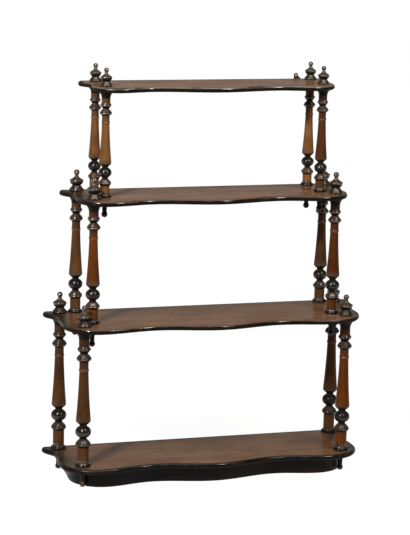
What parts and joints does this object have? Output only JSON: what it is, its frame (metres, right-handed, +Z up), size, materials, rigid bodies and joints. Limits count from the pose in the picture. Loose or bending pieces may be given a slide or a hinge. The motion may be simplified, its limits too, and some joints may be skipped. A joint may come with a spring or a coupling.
{
  "type": "wall shelf",
  "caption": "Wall shelf of graduated serpentine boards on turned columns with finials and drop knobs, with an apron under the lowest board and brass hanging plates.",
  "frame": {"origin": "bottom centre of the bounding box, in the plane of the apron's underside", "axes": "+Z up, +Y towards the wall, -Y towards the front, +X to the right seen from the front"},
  "size_m": [0.667, 0.195, 0.8503],
  "materials": {
    "board_wood": "polished dark brown wood with an ebonised edge",
    "column_wood": "polished red-brown wood with ebonised turnings",
    "finial_wood": "polished, partly ebonised wood",
    "knob_wood": "polished dark wood",
    "apron_wood": "ebonised wood, satin",
    "block_wood": "raw pale wood",
    "plate_brass": "tarnished brass",
    "screw_steel": "dull steel"
  },
  "bodies": {
    "root": {"apron_front": "apron_wood", "apron_return_left": "apron_wood", "apron_return_right": "apron_wood", "bottom_board": "board_wood", "column_a_left_back": "column_wood", "column_a_left_front": "column_wood", "column_a_right_back": "column_wood", "column_a_right_front": "column_wood", "column_b_left_back": "column_wood", "column_b_left_front": "column_wood", "column_b_right_back": "column_wood", "column_b_right_front": "column_wood", "column_c_left_back": "column_wood", "column_c_left_front": "column_wood", "column_c_right_back": "column_wood", "column_c_right_front": "column_wood", "drop_knob_a_left_back": "knob_wood", "drop_knob_a_left_front": "knob_wood", "drop_knob_a_right_back": "knob_wood", "drop_knob_a_right_front": "knob_wood", "drop_knob_b_left_back": "knob_wood", "drop_knob_b_left_front": "knob_wood", "drop_knob_b_right_back": "knob_wood", "drop_knob_b_right_front": "knob_wood", "drop_knob_c_left_back": "knob_wood", "drop_knob_c_left_front": "knob_wood", "drop_knob_c_right_back": "knob_wood", "drop_knob_c_right_front": "knob_wood", "finial_a_left_back": "finial_wood", "finial_a_left_front": "finial_wood", "finial_a_right_back": "finial_wood", "finial_a_right_front": "finial_wood", "finial_b_left_back": "finial_wood", "finial_b_left_front": "finial_wood", "finial_b_right_back": "finial_wood", "finial_b_right_front": "finial_wood", "finial_c_left_back": "finial_wood", "finial_c_left_front": "finial_wood", "finial_c_right_back": "finial_wood", "finial_c_right_front": "finial_wood", "glue_block_left": "block_wood", "glue_block_middle": "block_wood", "glue_block_return_left": "block_wood", "glue_block_return_right": "block_wood", "glue_block_right": "block_wood", "hanger_plate_left": "plate_brass", "hanger_plate_right": "plate_brass", "hanger_screw_left_inner": "screw_steel", "hanger_screw_left_outer": "screw_steel", "hanger_screw_right_inner": "screw_steel", "hanger_screw_right_outer": "screw_steel", "lower_board": "board_wood", "top_board": "board_wood", "upper_board": "board_wood"}
  },
  "joints": []
}
